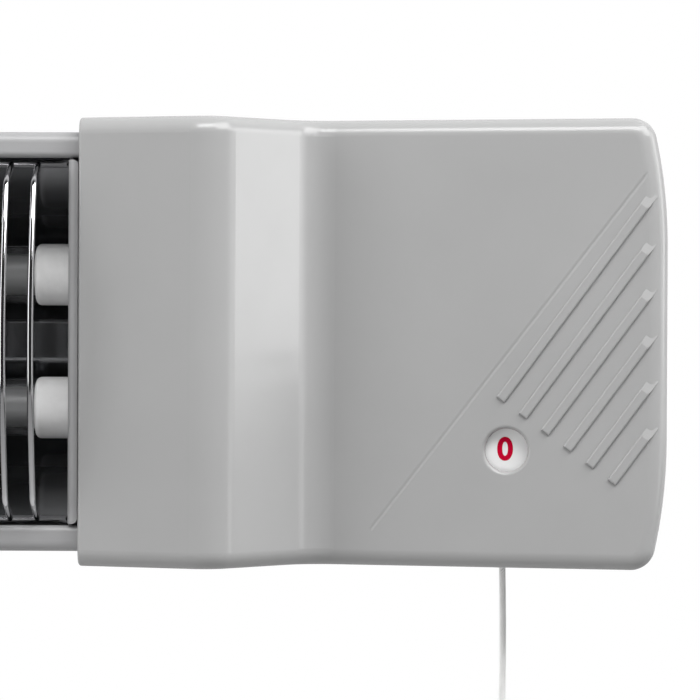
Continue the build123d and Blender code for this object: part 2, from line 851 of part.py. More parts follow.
def cord_pendant():
    """Small bell-shaped grip at the end of the cord."""
    tip = cord_points()[-1]
    profile = [
        (0, 0),
        (pendant_top_radius, 0),
        (pendant_top_radius + 0.4, -6),
        (pendant_radius, -pendant_length + 4),
        (pendant_radius, -pendant_length),
        (0, -pendant_length),
    ]
    line = FilletPolyline(*profile, radius=[0, 1.2, 8, 3, 1.5, 0], close=True)
    return Pos(*tip) * revolve(Plane.XZ * make_face(line), Axis.Z)


def lead_bush():
    """Round bush in the back cover through which the supply lead enters."""
    x = grille_half + bush_distance
    back = casing_back_depth
    bush = rod_y(x, back - 1.6, back, bush_height, 8.5)
    bush = fillet(bush.edges().sort_by(Axis.Y)[-1], 1.0)
    bush += rod_y(x, back, back + cover_sheet, bush_height, 6.2)
    bush += rod_y(x, back + cover_sheet + 0.1, back + cover_sheet + 2, bush_height, 7.2)
    bush += rod_y(x, back + cover_sheet, back + cover_sheet + 0.2, bush_height, 6.2)
    return bush - rod_y(x, back - 3, back + 8, bush_height, lead_radius)


def terminal_places():
    """Centres of the terminal block's poles."""
    start = grille_half + 62.0
    return [start + index * block_pitch for index in range(block_poles)]


def terminal_block():
    """Screw terminal block on the back cover."""
    back = casing_back_depth + cover_sheet
    poles = Part()
    for x in terminal_places():
        pole = block(x - 4.6, x + 4.6, back, back + 15, 22, 42)
        poles += fillet(pole.edges().filter_by(Axis.Y), 1.5)
    ends = terminal_places()
    poles += block(ends[0], ends[-1], back, back + 4, 25, 39)
    for x in terminal_places():
        for z in (26.5, 37.5):
            poles -= rod_y(x, back + 6, back + 16, z, 2.4)
    return poles


def terminal_screws():
    """Clamping screws of the terminal block."""
    back = casing_back_depth + cover_sheet
    return [rod_y(x, back + 6, back + 12, z, 2.2) for x in terminal_places() for z in (26.5, 37.5)]


def rivet_places():
    """Rivets that hold the pivot lugs to the trough."""
    x = lug_x - lug_sheet - 9
    return [(side * x, z) for side in (1, -1) for z in (pivot_height - 6, pivot_height + 6)]


def ear_outline(radius, front, top, low):
    """End view of an arm that runs from a plate to the pivot."""
    eye = (Pos(-pivot_depth, pivot_height) * Circle(radius)).edges()
    middle = Pos(-(front[0] + front[1]) / 2, (top + low) / 2)
    strip = (middle * Rectangle(front[1] - front[0], top - low)).edges()
    return make_hull([*eye, *strip])


def wall_bracket():
    """Steel channel on the wall with an ear at each end for the pivots."""
    points = [
        (bracket_flange, bracket_half_height),
        (0, bracket_half_height),
        (0, -bracket_half_height),
        (bracket_flange, -bracket_half_height),
    ]
    section = side_section(points, 2.2, bracket_sheet)
    half = bracket_length / 2
    bracket = along_x(section, -half, half)
    outline = ear_outline(ear_radius, (0, 13.0), bracket_half_height, -bracket_half_height)
    for side in (1, -1):
        bracket += along_x(outline, side * ear_x, side * half)
    for side in (1, -1):
        bracket -= rod_x(side * (ear_x - 1), side * (half + 1), pivot_depth, pivot_height,
                         pivot_bolt_radius + running_gap)
        bracket -= rod_y(side * wall_screw_spacing / 2, -1, bracket_sheet + 1, 0, wall_hole_radius)
    return bracket


def pivot_lug(side):
    """Bent steel lug riveted to the back of the trough."""
    outer = side * lug_x
    base_face = trough_back_depth
    low = pivot_height - 12
    high = pivot_height + 12
    line = FilletPolyline(
        (outer, -(pivot_depth - lug_radius)), (outer, -base_face), (outer - side * lug_base, -base_face),
        radius=2.6,
    )
    turned = Side.RIGHT if side > 0 else Side.LEFT
    section = make_face(offset(line, lug_sheet, side=turned))
    lug = extrude(Plane.XY.offset(low) * section, high - low)
    lug &= along_x(
        ear_outline(lug_radius, (base_face - 4, base_face), high, low), outer, outer - side * (lug_base + 1)
    )
    lug -= rod_x(outer - side * (lug_sheet + 1), outer + side, pivot_depth, pivot_height,
                 pivot_bolt_radius + running_gap)
    for x, z in rivet_places():
        lug -= rod_y(x, base_face - lug_sheet - 1, base_face + 1, z, 2.1)
    return lug


def lug_rivets():
    """Rivets through the lugs and the back of the trough."""
    rear = trough_back_depth - lug_sheet
    front = trough_back_depth + trough_sheet
    rivets = []
    for x, z in rivet_places():
        rivet = rod_y(x, rear - 1.2, rear, z, 3.5) + rod_y(x, rear, front, z, 2.0)
        rivets.append(rivet + rod_y(x, front, front + 0.9, z, 3.0))
    return rivets


def pivot_bolts():
    """Bolts through the ears of the bracket and the lugs."""
    half = bracket_length / 2
    bolts = []
    for side in (1, -1):
        head = hex_x(side * half, side * (half + 3.5), pivot_depth, pivot_height, 8.0)
        tip = knob_x() - knob_length - 1.5
        shank = rod_x(side * half, side * tip, pivot_depth, pivot_height, pivot_bolt_radius)
        bolts.append(head + shank)
    return bolts


def knob_x():
    """Distance from the middle to the face of the knobs."""
    return lug_x - lug_sheet - washer_sheet


def ring_x(x0, x1, radius):
    """Washer on the pivot line."""
    washer = rod_x(x0, x1, pivot_depth, pivot_height, radius)
    return washer - rod_x(x0 - 1, x1 + 1, pivot_depth, pivot_height, pivot_bolt_radius + running_gap)


def pivot_washers():
    """Washers on both sides of each lug."""
    washers = []
    for side in (1, -1):
        for start, radius in ((lug_x, 6.0), (knob_x(), 5.5)):
            ends = sorted((side * start, side * (start + washer_sheet)))
            washers.append(ring_x(*ends, radius))
    return washers


def clamp_knobs():
    """Lobed knobs that clamp the tilt."""
    knobs = []
    for side in (1, -1):
        outline = Circle(knob_radius - 1.6)
        for index in range(6):
            angle = math.radians(60 * index)
            reach = knob_radius - 2.4
            outline += Pos(reach * math.cos(angle), reach * math.sin(angle)) * Circle(2.4)
        ends = sorted((side * (knob_x() - knob_length), side * knob_x()))
        knob = along_x(Pos(-pivot_depth, pivot_height) * outline, *ends)
        knobs.append(knob - rod_x(ends[0] - 1, ends[1] + 1, pivot_depth, pivot_height, pivot_bolt_radius))
    return knobs


def write(name, shape):
    """Save one piece, or one group of like pieces, as a STEP file."""
    if isinstance(shape, list):
        shape = Compound([solid for piece in shape for solid in piece.solids()])
    export_step(shape, f"parts/{name}.step")


os.makedirs("parts", exist_ok=True)
write("wall_bracket", wall_bracket())
write("pivot_bolts", pivot_bolts())
write("pivot_washers", pivot_washers())
write("clamp_knobs", clamp_knobs())
write("pivot_lug_right", pivot_lug(1))
write("pivot_lug_left", pivot_lug(-1))
write("lug_rivets", lug_rivets())
write("body_shell", body_shell())
write("reflector", reflector())
write("end_plate_right", end_plate(1))
write("end_plate_left", end_plate(-1))
for name, height in zip(("upper", "lower"), tube_heights):
    write(f"quartz_tube_{name}", quartz_tube(height))
    write(f"heating_coil_{name}", heating_coil(height))
    write(f"ceramic_cap_{name}_right", ceramic_cap(1, height))
    write(f"ceramic_cap_{name}_left", ceramic_cap(-1, height))
write("terminal_studs", terminal_studs())
write("terminal_nuts", terminal_nuts())
write("wire_guard", wire_guard())
write("control_housing", control_housing())
write("control_back_cover", control_back_cover())
write("control_cover_screws", cover_screws(cover_posts()))
write("left_end_cap", left_end_cap())
write("left_back_cover", back_cover(-1, left_cap_length, left_posts()))
write("left_cover_screws", cover_screws(left_posts()))
write("switch_base", switch_base())
write("switch_cover", switch_cover())
write("switch_screws", switch_screws())
write("ratchet_cam", ratchet_cam())
write("indicator_dial", indicator_dial())
write("pull_lever", pull_lever())
write("return_spring", return_spring())
write("contact_blades", contact_blades())
write("switch_tabs", switch_tabs())
write("cord_eye", cord_eye())
write("cord_inner", cord_inner())
write("cord_eyelet", cord_eyelet())
write("pull_cord", pull_cord())
write("cord_pendant", cord_pendant())
write("lead_bush", lead_bush())
write("terminal_block", terminal_block())
write("terminal_screws", terminal_screws())
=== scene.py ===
import json
import math

import bmesh
import bpy
from mathutils import Matrix, Vector


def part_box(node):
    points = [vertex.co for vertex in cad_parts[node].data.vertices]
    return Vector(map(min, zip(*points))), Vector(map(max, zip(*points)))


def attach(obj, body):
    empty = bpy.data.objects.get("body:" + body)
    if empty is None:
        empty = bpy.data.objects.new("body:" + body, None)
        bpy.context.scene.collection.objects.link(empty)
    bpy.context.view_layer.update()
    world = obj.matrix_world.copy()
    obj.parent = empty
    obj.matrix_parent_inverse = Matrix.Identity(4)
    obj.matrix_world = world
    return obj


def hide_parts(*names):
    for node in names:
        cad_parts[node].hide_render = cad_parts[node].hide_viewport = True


bl_info = {
    "name": "Quartz heater",
    "version": (1, 0, 0),
    "blender": (4, 5, 0),
    "location": "View3D > Sidebar > Heater",
    "description": "Builds the looks of a wall-mounted quartz heater round its packed parts",
    "category": "Add Mesh",
}

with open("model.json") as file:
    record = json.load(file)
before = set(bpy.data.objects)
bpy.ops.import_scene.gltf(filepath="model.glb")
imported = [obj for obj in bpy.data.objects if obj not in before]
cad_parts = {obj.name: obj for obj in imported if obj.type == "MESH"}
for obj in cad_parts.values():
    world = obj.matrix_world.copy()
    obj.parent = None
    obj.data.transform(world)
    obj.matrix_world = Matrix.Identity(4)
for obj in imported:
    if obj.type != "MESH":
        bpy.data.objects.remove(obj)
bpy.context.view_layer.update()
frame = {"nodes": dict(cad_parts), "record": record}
NODES = frame["nodes"]
MM = 0.001
MATH = "ShaderNodeMath"


def linear(code):
    """An sRGB hex code as linear red, green, blue and alpha."""
    channels = [int(code[i : i + 2], 16) / 255 for i in (1, 3, 5)]
    return [c / 12.92 if c <= 0.04045 else ((c + 0.055) / 1.055) ** 2.4 for c in channels] + [1.0]


def add(tree, kind, links=None, **settings):
    """Add a node. Settings name its properties, and links its inputs: by a value, an output or a node."""
    node = tree.nodes.new(kind)
    for name, value in settings.items():
        setattr(node, name, value)
    for key, value in (links or {}).items():
        if isinstance(value, bpy.types.Node):
            value = value.outputs[0]
        if isinstance(value, bpy.types.NodeSocket):
            tree.links.new(value, node.inputs[key])
        else:
            node.inputs[key].default_value = value
    return node


def new_material(name, color, roughness, metallic=0.0, **inputs):
    """A principled material with its plain values on its own sockets, and its tree and shader."""
    material = bpy.data.materials.new(name)
    material.use_nodes = True
    tree = material.node_tree
    shader = next(n for n in tree.nodes if n.type == "BSDF_PRINCIPLED")
    shader.inputs["Base Color"].default_value = linear(color)
    shader.inputs["Roughness"].default_value = roughness
    shader.inputs["Metallic"].default_value = metallic
    for key, value in inputs.items():
        shader.inputs[key.replace("_", " ")].default_value = value
    return material, tree, shader


def object_noise(tree, size_mm, detail=2.0, stretch=(1, 1, 1)):
    """Noise on Object coordinates whose features are about the given size."""
    place = add(tree, "ShaderNodeTexCoord").outputs["Object"]
    stretched = add(tree, "ShaderNodeMapping", {"Vector": place, "Scale": stretch}).outputs["Vector"]
    settings = {"Vector": stretched, "Scale": 1000 / size_mm, "Detail": detail}
    return add(tree, "ShaderNodeTexNoise", settings).outputs["Fac"]


def vary(tree, shader, color=None, roughness=None, relief=None):
    """Vary a finish over the surface. Each part is a field and what it does there.

    Colour runs between two hex codes, roughness between two values, and relief has a depth in millimetres.
    """
    if color:
        field, *codes = color
        ramp = add(tree, "ShaderNodeValToRGB", {"Fac": field})
        for stop, place, code in zip(ramp.color_ramp.elements, (0.3, 0.7), codes):
            stop.position = place
            stop.color = linear(code)
        tree.links.new(ramp.outputs["Color"], shader.inputs["Base Color"])
    if roughness:
        field, low, high = roughness
        dull = add(tree, "ShaderNodeMapRange", {"Value": field, "To Min": low, "To Max": high})
        tree.links.new(dull.outputs["Result"], shader.inputs["Roughness"])
    if relief:
        field, depth = relief
        bump = add(tree, "ShaderNodeBump", {"Height": field, "Distance": depth * MM, "Strength": 1.0})
        tree.links.new(bump.outputs["Normal"], shader.inputs["Normal"])


def moulded_casing():
    """ABS, injection moulded and spray painted light grey: satin, smooth, with a very fine orange peel."""
    material, tree, shader = new_material("casing_abs_satin_paint", "#AAAAAA", 0.2)
    vary(
        tree,
        shader,
        color=(object_noise(tree, 40, 3), "#A8A8A8", "#ACACAC"),
        roughness=(object_noise(tree, 9, 3), 0.17, 0.23),
        relief=(object_noise(tree, 2.2, 2), 0.002),
    )
    return material


def moulded_cover():
    """ABS, injection moulded in light grey with a fine spark-eroded grain, on the back covers."""
    material, tree, shader = new_material("cover_abs_grained", "#9C9C9B", 0.5)
    vary(
        tree,
        shader,
        color=(object_noise(tree, 60, 3), "#989897", "#A0A09F"),
        relief=(object_noise(tree, 0.8, 2), 0.03),
    )
    return material


def painted_steel():
    """Mild steel sheet, pressed and powder coated light grey: satin, with the coat's shallow orange peel."""
    material, tree, shader = new_material("steel_powder_coat", "#A6A6A7", 0.36)
    vary(
        tree,
        shader,
        color=(object_noise(tree, 50, 3), "#A3A3A4", "#A9A9AA"),
        roughness=(object_noise(tree, 7, 2), 0.32, 0.41),
        relief=(object_noise(tree, 1.2, 2), 0.01),
    )
    return material


def polished_reflector():
    """Anodised aluminium sheet, polished bright: a slightly milky mirror, faintly wavy from rolling."""
    material, tree, shader = new_material("aluminium_bright_anodised", "#8E8F91", 0.13, 0.88)
    vary(
        tree,
        shader,
        roughness=(object_noise(tree, 6, 3, (0.2, 1, 1)), 0.09, 0.17),
        relief=(object_noise(tree, 12, 2, (0.5, 1, 1)), 0.12),
    )
    return material


def milky_quartz():
    """Fused quartz tube, drawn milky and translucent with a soft sheen; its grey is painted shade from the
    trough round it.
    """
    clear = {"Transmission_Weight": 0.25, "Coat_Weight": 0.12, "Coat_Roughness": 0.3}
    # The grey base colour stands for the shade inside the trough: milky quartz itself is near white.
    material, tree, shader = new_material("quartz_milky_drawn", "#707172", 0.45, **clear)
    vary(tree, shader, color=(object_noise(tree, 12, 3, (0.12, 1, 1)), "#6B6C6D", "#777879"))
    return material


def steatite():
    """Steatite ceramic, dry pressed and fired unglazed: off-white, matt, with fine pores."""
    material, tree, shader = new_material("steatite_unglazed", "#D6D6D6", 0.6)
    vary(
        tree,
        shader,
        color=(object_noise(tree, 3, 3), "#D2D2D2", "#DADADA"),
        relief=(object_noise(tree, 0.7, 2), 0.02),
    )
    return material


def chrome_wire():
    """Drawn steel wire, bright chrome plated: a mirror with slightly duller flecks of wear."""
    material, tree, shader = new_material("steel_wire_chrome_plated", "#DADADC", 0.06, 1.0)
    vary(tree, shader, roughness=(object_noise(tree, 2.5, 3), 0.04, 0.1))
    return material


def zinc_steel():
    """Steel fasteners, zinc plated and clear passivated: pale blue-grey metal, half dull."""
    material, tree, shader = new_material("steel_zinc_plated", "#B9BDC2", 0.32, 1.0)
    vary(
        tree,
        shader,
        color=(object_noise(tree, 2.2, 3), "#AEB3B9", "#C6C8C8"),
        roughness=(object_noise(tree, 1.1, 2), 0.26, 0.42),
    )
    return material


def plain_aluminium():
    """Aluminium rivets, headed cold: pale metal with light upset marks."""
    material, tree, shader = new_material("aluminium_cold_headed", "#C4C6C9", 0.34, 1.0)
    vary(
        tree,
        shader,
        roughness=(object_noise(tree, 0.9, 2), 0.27, 0.43),
        relief=(object_noise(tree, 0.7, 2), 0.01),
    )
    return material


def resistance_wire():
    """Iron-chromium-aluminium wire, drawn and wound: dark brown-grey oxide over metal."""
    material, tree, shader = new_material("resistance_wire_oxidised", "#6B625C", 0.45, 0.8)
    vary(tree, shader, color=(object_noise(tree, 1.5, 2), "#5C534E", "#7B736C"))
    return material


def spring_steel():
    """Music wire, cold drawn and oiled: dark steel with fine drawing lines."""
    material, tree, shader = new_material("music_wire_drawn", "#8B8D90", 0.3, 1.0)
    vary(tree, shader, roughness=(object_noise(tree, 0.6, 2), 0.24, 0.38))
    return material


def stamped_brass():
    """Brass strip, stamped: yellow metal with a slight tarnish."""
    material, tree, shader = new_material("brass_stamped", "#C9A75B", 0.3, 1.0)
    vary(
        tree,
        shader,
        color=(object_noise(tree, 2.0, 3), "#BD9950", "#D3B46A"),
        roughness=(object_noise(tree, 1.0, 2), 0.24, 0.4),
    )
    return material


def black_plastic():
    """Glass-filled nylon, injection moulded black: matt with a fine grain."""
    material, tree, shader = new_material("nylon_black_moulded", "#1C1C1D", 0.5)
    vary(
        tree,
        shader,
        color=(object_noise(tree, 8, 3), "#181819", "#222223"),
        relief=(object_noise(tree, 0.5, 2), 0.03),
    )
    return material


def natural_nylon():
    """Nylon, injection moulded in its own milky colour: waxy and slightly translucent."""
    material, tree, shader = new_material("nylon_natural_moulded", "#DCDACE", 0.4, Subsurface_Weight=0.15)
    shader.inputs["Subsurface Radius"].default_value = (0.001, 0.001, 0.0008)
    vary(tree, shader, color=(object_noise(tree, 6, 3), "#D7D5C8", "#E0DED3"))
    return material


def dial_white():
    """Polystyrene, moulded white and glossy, on the dial and the cord's grip."""
    material, tree, shader = new_material("polystyrene_white_moulded", "#DEDEDE", 0.25)
    vary(tree, shader, color=(object_noise(tree, 10, 2), "#DCDCDC", "#E1E1E1"))
    return material


def dial_red():
    """Crimson pad-printing ink on the dial: thin, even and matt."""
    material, tree, shader = new_material("ink_crimson_printed", "#B40028", 0.6, Specular_IOR_Level=0.05)
    vary(tree, shader, color=(object_noise(tree, 1.0, 2), "#AE0026", "#B9002C"))
    return material


def laid_yarn():
    """Polyester yarn, spun and laid: white strands with fine filaments, and painted shade that greys their
    flanks where they meet.
    """
    fuzz = {"Sheen_Weight": 0.25, "Sheen_Roughness": 0.4}
    material, tree, shader = new_material("polyester_yarn_laid_painted_shade", "#F0F0EF", 0.75, **fuzz)
    along = add(tree, "ShaderNodeUVMap", uv_map="yarn").outputs["UV"]
    groove_shade_mask = add(tree, "ShaderNodeSeparateXYZ", {0: along}).outputs["Y"]
    waves = {"Vector": along, "Scale": 4.0, "Distortion": 1.2, "Detail": 2.0}
    filaments = add(tree, "ShaderNodeTexWave", waves, bands_direction="Y").outputs["Fac"]
    # The colour runs from painted shade on the strands' inward flanks to white on their outward sides.
    vary(tree, shader, color=(groove_shade_mask, "#A4A4A3", "#FDFDFC"), relief=(filaments, 0.015))
    return material


MAKERS = {
    "casing_plastic": moulded_casing,
    "cover_plastic": moulded_cover,
    "body_paint": painted_steel,
    "bracket_paint": painted_steel,
    "reflector_aluminium": polished_reflector,
    "quartz": milky_quartz,
    "ceramic": steatite,
    "guard_chrome": chrome_wire,
    "zinc_steel": zinc_steel,
    "rivet_aluminium": plain_aluminium,
    "coil_alloy": resistance_wire,
    "spring_steel": spring_steel,
    "contact_brass": stamped_brass,
    "black_plastic": black_plastic,
    "nylon": natural_nylon,
    "dial_plastic": dial_white,
    "cord_braid": laid_yarn,
    "dial_ink": dial_red,
}
MADE = {}


def finish_of(slot):
    """The material for one of the record's slots, made once."""
    maker = MAKERS[slot]
    if maker not in MADE:
        MADE[maker] = maker()
    return MADE[maker]


def paint(obj, material):
    """Give an object that one material."""
    obj.data.materials.clear()
    obj.data.materials.append(material)


SHADED = ("cord_braid", "dial_plastic", "ceramic", "quartz")


def light_in_shade(obj, slot):
    """Let the fill light reach a piece that the casing or the trough keeps in the shade."""
    if slot in SHADED:
        bpy.data.collections["fill_on"].objects.link(obj)


def keep(*names):
    """Keep CAD nodes as they are and give each the finish of its own slot."""
    slots = {part["node"]: part["material_slot"] for part in frame["record"]["subparts"]}
    for name in names:
        paint(NODES[name], finish_of(slots[name]))
        light_in_shade(NODES[name], slots[name])


def link(name, mesh):
    """A new object at the origin."""
    obj = bpy.data.objects.new(name, mesh)
    bpy.context.scene.collection.objects.link(obj)
    return obj


def settle(obj, body, slot, replaced=()):
    """Paint a finished piece where it has no material, put it on its body and let it stand for CAD nodes."""
    if not obj.data.materials:
        obj.data.materials.append(finish_of(slot))
    light_in_shade(obj, slot)
    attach(obj, body)
    if replaced:
        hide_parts(*replaced)
    return obj


def smooth(mesh):
    """Shade a whole mesh smooth."""
    mesh.polygons.foreach_set("use_smooth", [True] * len(mesh.polygons))


def islands(node):
    """Lowest and highest corner of each separate solid of a CAD node."""
    work = bmesh.new()
    work.from_mesh(NODES[node].data)
    bmesh.ops.remove_doubles(work, verts=work.verts, dist=1e-6)
    left = set(work.verts)
    boxes = []
    while left:
        stack = [left.pop()]
        found = []
        while stack:
            vertex = stack.pop()
            found.append(vertex.co.copy())
            for edge in vertex.link_edges:
                other = edge.other_vert(vertex)
                if other in left:
                    left.remove(other)
                    stack.append(other)
        low = Vector([min(p[i] for p in found) for i in range(3)])
        high = Vector([max(p[i] for p in found) for i in range(3)])
        boxes.append((low, high))
    work.free()
    return sorted(boxes, key=lambda pair: tuple(round(v, 6) for v in pair[0]))


def node_tree(name, inputs):
    """A geometry tree with named inputs, and its group input and output nodes."""
    tree = bpy.data.node_groups.new(name, "GeometryNodeTree")
    tree.interface.new_socket("Geometry", in_out="INPUT", socket_type="NodeSocketGeometry")
    tree.interface.new_socket("Geometry", in_out="OUTPUT", socket_type="NodeSocketGeometry")
    kinds = {
        int: "NodeSocketInt",
        float: "NodeSocketFloat",
        bpy.types.Material: "NodeSocketMaterial",
        bpy.types.Object: "NodeSocketObject",
    }
    for key, value in inputs.items():
        tree.interface.new_socket(key, in_out="INPUT", socket_type=kinds[type(value)])
    return tree, tree.nodes.new("NodeGroupInput").outputs, tree.nodes.new("NodeGroupOutput")


def close_tree(tree, inputs, output, geometry):
    """End a tree in Realize Instances and Set Material."""
    real = add(tree, "GeometryNodeRealizeInstances", {"Geometry": geometry}).outputs["Geometry"]
    done = add(tree, "GeometryNodeSetMaterial", {"Geometry": real, "Material": inputs["Material"]})
    tree.links.new(done.outputs["Geometry"], output.inputs["Geometry"])


def run_tree(name, tree, values, points=None):
    """Run a tree on a mesh of points and return its result as a plain mesh object."""
    seed = bpy.data.meshes.new(name + "_seed")
    seed.from_pydata(points or [(0, 0, 0)], [], [])
    host = link(name + "_host", seed)
    modifier = host.modifiers.new("Build", "NODES")
    modifier.node_group = tree
    for item in tree.interface.items_tree:
        if item.in_out == "INPUT" and item.name in values:
            modifier[item.identifier] = values[item.name]
    evaluated = host.evaluated_get(bpy.context.evaluated_depsgraph_get())
    mesh = bpy.data.meshes.new_from_object(evaluated)
    host.modifiers.remove(modifier)
    bpy.data.objects.remove(host)
    return link(name, mesh)


def lathe(profile, segments=32):
    """A mesh turned from radius and height pairs about Z, in metres."""
    work = bmesh.new()
    rings = []
    for radius, height in profile:
        if radius < 1e-9:
            rings.append([work.verts.new((0, 0, height))])
            continue
        turns = [2 * math.pi * i / segments for i in range(segments)]
        rings.append([work.verts.new((radius * math.cos(t), radius * math.sin(t), height)) for t in turns])
    for lower, upper in zip(rings, rings[1:]):
        for i in range(segments):
            j = (i + 1) % segments
            corners = [lower[i % len(lower)], lower[j % len(lower)]]
            corners += [upper[j % len(upper)], upper[i % len(upper)]]
            unique = list(dict.fromkeys(corners))
            if len(unique) > 2:
                work.faces.new(unique)
    bmesh.ops.recalc_face_normals(work, faces=work.faces)
    return work


class HeaterSizes(bpy.types.PropertyGroup):
    """Sizes that a user may change."""

    guard_wires: bpy.props.IntProperty(
        name="Guard wires", description="Upright wires of the guard", default=45, min=2
    )
    wire_radius: bpy.props.FloatProperty(
        name="Wire radius", description="Radius of a guard wire", default=0.9 * MM, unit="LENGTH"
    )
    coil_pitch: bpy.props.FloatProperty(
        name="Coil pitch", description="From turn to turn of a heating coil", default=1.7 * MM, unit="LENGTH"
    )
    coil_wire: bpy.props.FloatProperty(
        name="Coil wire", description="Radius of the resistance wire", default=0.32 * MM, unit="LENGTH"
    )
    strands: bpy.props.IntProperty(
        name="Cord strands", description="Strands of the pull cord", default=5, min=3
    )
    strand_radius: bpy.props.FloatProperty(
        name="Strand radius", description="Radius of one strand of the cord", default=0.3 * MM, unit="LENGTH"
    )
    core_radius: bpy.props.FloatProperty(
        name="Core radius", description="Radius of the cord's core", default=0.5 * MM, unit="LENGTH"
    )
    strand_lead: bpy.props.FloatProperty(
        name="Strand lead", description="Cord length of a strand's turn", default=4.4 * MM, unit="LENGTH"
    )
    digit_height: bpy.props.FloatProperty(
        name="Digit height", description="Height of a digit on the dial", default=6.9 * MM, unit="LENGTH"
    )


class HeaterStage(bpy.types.PropertyGroup):
    """Camera and floor that a user may change."""

    lens: bpy.props.FloatProperty(name="Lens", description="Focal length in millimetres", default=167.94)
    distance: bpy.props.FloatProperty(
        name="Camera distance", description="From the wall to the camera", default=0.996, unit="LENGTH"
    )
    mounting_height: bpy.props.FloatProperty(
        name="Mounting height", description="From the floor to the wall screws", default=1.8, unit="LENGTH"
    )
    floor_color: bpy.props.FloatVectorProperty(
        name="Floor colour",
        description="Colour of the floor",
        default=linear("#F4F4F4")[:3],
        subtype="COLOR",
    )


class HEATER_OT_stage(bpy.types.Operator):
    """Make the floor, the soft lights, the world and the camera"""

    bl_idname = "heater.stage"
    bl_label = "Stage"

    def execute(self, context):
        settings = context.scene.heater_stage
        make_floor(settings)
        make_world()
        make_lights()
        make_camera(settings)
        context.scene.view_settings.view_transform = "Standard"
        return {"FINISHED"}


def make_floor(settings):
    """A wide pale floor, as far below the heater as it is mounted on a wall."""
    half_width = 6.0
    mesh = bpy.data.meshes.new("floor")
    signs = ((-1, -1), (1, -1), (1, 1), (-1, 1))
    corners = [(x * half_width, y * half_width, -settings.mounting_height) for x, y in signs]
    mesh.from_pydata(corners, [], [(0, 1, 2, 3)])
    floor = link("floor", mesh)
    material = bpy.data.materials.new("floor_matt_paint")
    material.use_nodes = True
    tree = material.node_tree
    tree.nodes.clear()
    own_glow = 0.85
    matt = add(tree, "ShaderNodeBsdfDiffuse", {"Color": [*settings.floor_color, 1.0]})
    glow = add(tree, "ShaderNodeEmission", {"Color": linear("#FFFFFF"), "Strength": 1.0})
    path = add(tree, "ShaderNodeLightPath")
    share = add(tree, MATH, {0: path.outputs["Is Camera Ray"], 1: own_glow}, operation="MULTIPLY")
    mix = add(tree, "ShaderNodeMixShader", {0: share, 1: matt, 2: glow})
    add(tree, "ShaderNodeOutputMaterial", {"Surface": mix})
    paint(floor, material)


def make_world():
    """A white room to the camera; to the heater a pale left side, a pale part behind and a dim rest.

    Mirrors see a dim room in front of the wall, so that chrome and reflector keep their dark parts.
    """
    world = bpy.data.worlds.new("studio")
    bpy.context.scene.world = world
    world.use_nodes = True
    tree = world.node_tree
    tree.nodes.clear()
    way = add(tree, "ShaderNodeTexCoord").outputs["Object"]
    parts = add(tree, "ShaderNodeSeparateXYZ", {0: way}).outputs
    zones = [
        {"Value": parts["X"], "From Min": -0.4, "From Max": -0.9, "To Min": 0.0, "To Max": 1.47},
        {"Value": parts["Y"], "From Min": 0.2, "From Max": 0.9, "To Min": 0.02, "To Max": 0.8},
        {"Value": parts["Y"], "From Min": -0.1, "From Max": 0.6, "To Min": 0.03, "To Max": 0.7},
    ]
    left, behind, mirrored = [
        add(tree, "ShaderNodeMapRange", ends, interpolation_type="SMOOTHSTEP") for ends in zones
    ]
    spread = add(tree, MATH, {0: left, 1: behind}, operation="ADD")
    path = add(tree, "ShaderNodeLightPath").outputs
    lit = add(tree, "ShaderNodeMix", {0: path["Is Glossy Ray"], 2: spread, 3: mirrored}, data_type="FLOAT")
    seen = add(tree, "ShaderNodeMix", {0: path["Is Camera Ray"], 2: lit, 3: 1.0}, data_type="FLOAT")
    back = add(tree, "ShaderNodeBackground", {"Color": linear("#FFFFFF"), "Strength": seen})
    add(tree, "ShaderNodeOutputWorld", {"Surface": back})


def around(azimuth, elevation, aim=(0.25, -0.09, 0.0)):
    """A place round the heater and its aim: azimuth from in front to the right, elevation from level."""
    distance = 1.6
    turn, rise = math.radians(azimuth), math.radians(elevation)
    way = Vector((math.sin(turn) * math.cos(rise), -math.cos(turn) * math.cos(rise), math.sin(rise)))
    return Vector(aim) + distance * way, Vector(aim)


def linked(name, node, state):
    """A light-linking collection that takes in one CAD node or leaves it out."""
    group = bpy.data.collections.new(name)
    group.objects.link(NODES[node])
    for entry in group.collection_objects:
        entry.light_linking.link_state = state
    return group


def make_lights():
    """Soft boxes above, at the upper right and at both sides, which leave the reflector dark.

    A tall one gives the sheen on the casing's wave, and a fill in front lights only what lies in shade.
    """
    boxes = [
        soft_box("top_box", around(0, 50), width=1.0, height=0.6, power=17.2),
        soft_box("upper_right_box", around(60, 45), width=1.2, height=1.1, power=23.5),
        soft_box("left_box", around(-60, 10), width=0.5, height=1.2, power=4.9),
        soft_box("right_box", around(78, 8), width=0.3, height=1.2, power=2.3),
    ]
    off_reflector = linked("off_reflector", "reflector", "EXCLUDE")
    for lamp in boxes:
        lamp.light_linking.receiver_collection = off_reflector
    above_wave = (0.23, -0.085, 0.43)
    sheen = soft_box("wave_box", around(96, 0, aim=above_wave), width=0.5, height=0.94, power=6.3)
    sheen.light_linking.receiver_collection = linked("sheen_on", "control_housing", "INCLUDE")
    sheen.light_linking.blocker_collection = linked("sheen_unblocked", "control_housing", "EXCLUDE")
    fill = soft_box("fill_box", around(-14, -5), width=1.1, height=0.9, power=7.6)
    fill.light_linking.receiver_collection = bpy.data.collections.new("fill_on")


def soft_box(name, line, width, height, power):
    """An area light on a line from its place to its aim, which the camera doesn't see. Power is in watts."""
    place, aim = line
    light = bpy.data.lights.new(name, "AREA")
    light.shape = "RECTANGLE"
    light.size = width
    light.size_y = height
    light.energy = power
    lamp = bpy.data.objects.new(name, light)
    bpy.context.scene.collection.objects.link(lamp)
    lamp.location = place
    lamp.rotation_euler = (aim - place).to_track_quat("-Z", "Y").to_euler()
    lamp.visible_camera = False
    return lamp


